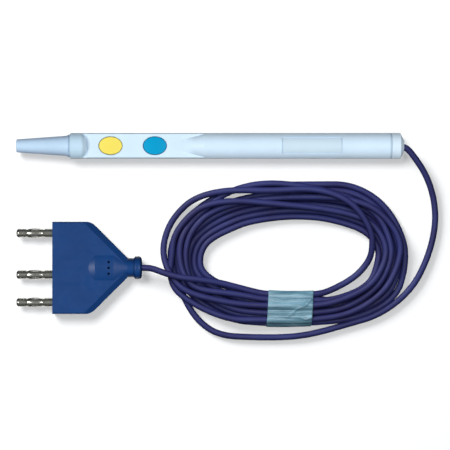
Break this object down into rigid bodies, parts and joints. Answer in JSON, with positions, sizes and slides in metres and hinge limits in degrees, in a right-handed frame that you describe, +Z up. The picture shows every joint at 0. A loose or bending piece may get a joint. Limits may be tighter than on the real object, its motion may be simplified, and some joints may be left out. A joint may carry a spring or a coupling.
{
  "type": "electrosurgical pencil",
  "caption": "Pen-shaped hand-switched electrosurgical pencil with two press buttons, its cord tied in a hank and a flat plug with sprung pins.",
  "frame": {"origin": "middle of the pencil's underside, on the surface it lies on", "axes": "+X along the pencil from the nose to the cord end, +Y away from the hank, +Z up"},
  "size_m": [0.194, 0.0959, 0.0118],
  "materials": {
    "housing": "fine satin",
    "nose": "satin",
    "label": "blank plate",
    "button_yellow": "satin",
    "button_blue": "satin",
    "board": "varnished board",
    "brass": "turned",
    "spring_steel": "rolled",
    "nickel": "nickel plated",
    "wire_white": "insulation",
    "wire_yellow": "insulation",
    "wire_blue": "insulation",
    "cord_jacket": "smooth jacket",
    "tape": "thin film",
    "plug": "satin moulding"
  },
  "bodies": {
    "pencil": {"nose_cone": "nose", "upper_shell": "housing", "lower_shell": "housing", "rear_cap": "housing", "electrode_socket": "brass", "switch_board": "board", "cut_dome": "spring_steel", "coag_dome": "spring_steel", "label": "label", "cord_ferrule": "brass", "active_wire": "wire_white", "cut_wire": "wire_yellow", "coag_wire": "wire_blue", "cord_lead": "cord_jacket", "cord_hank": "cord_jacket", "cord_tail": "cord_jacket", "tie_band": "tape", "plug_body": "plug", "active_pin": "nickel", "cut_pin": "nickel", "coag_pin": "nickel", "active_spring": "spring_steel", "cut_spring": "spring_steel", "coag_spring": "spring_steel"},
    "cut_switch": {"cut_button": "button_yellow"},
    "coag_switch": {"coag_button": "button_blue"}
  },
  "joints": [
    {"name": "cut_press", "type": "slide", "parent": "pencil", "child": "cut_switch", "axis": [0, 0, -1], "range_m": [0, 0.00045], "stiffness_N_per_m": 2000, "deforming": ["cut_dome"]},
    {"name": "coag_press", "type": "slide", "parent": "pencil", "child": "coag_switch", "axis": [0, 0, -1], "range_m": [0, 0.00045], "stiffness_N_per_m": 2000, "deforming": ["coag_dome"]}
  ]
}
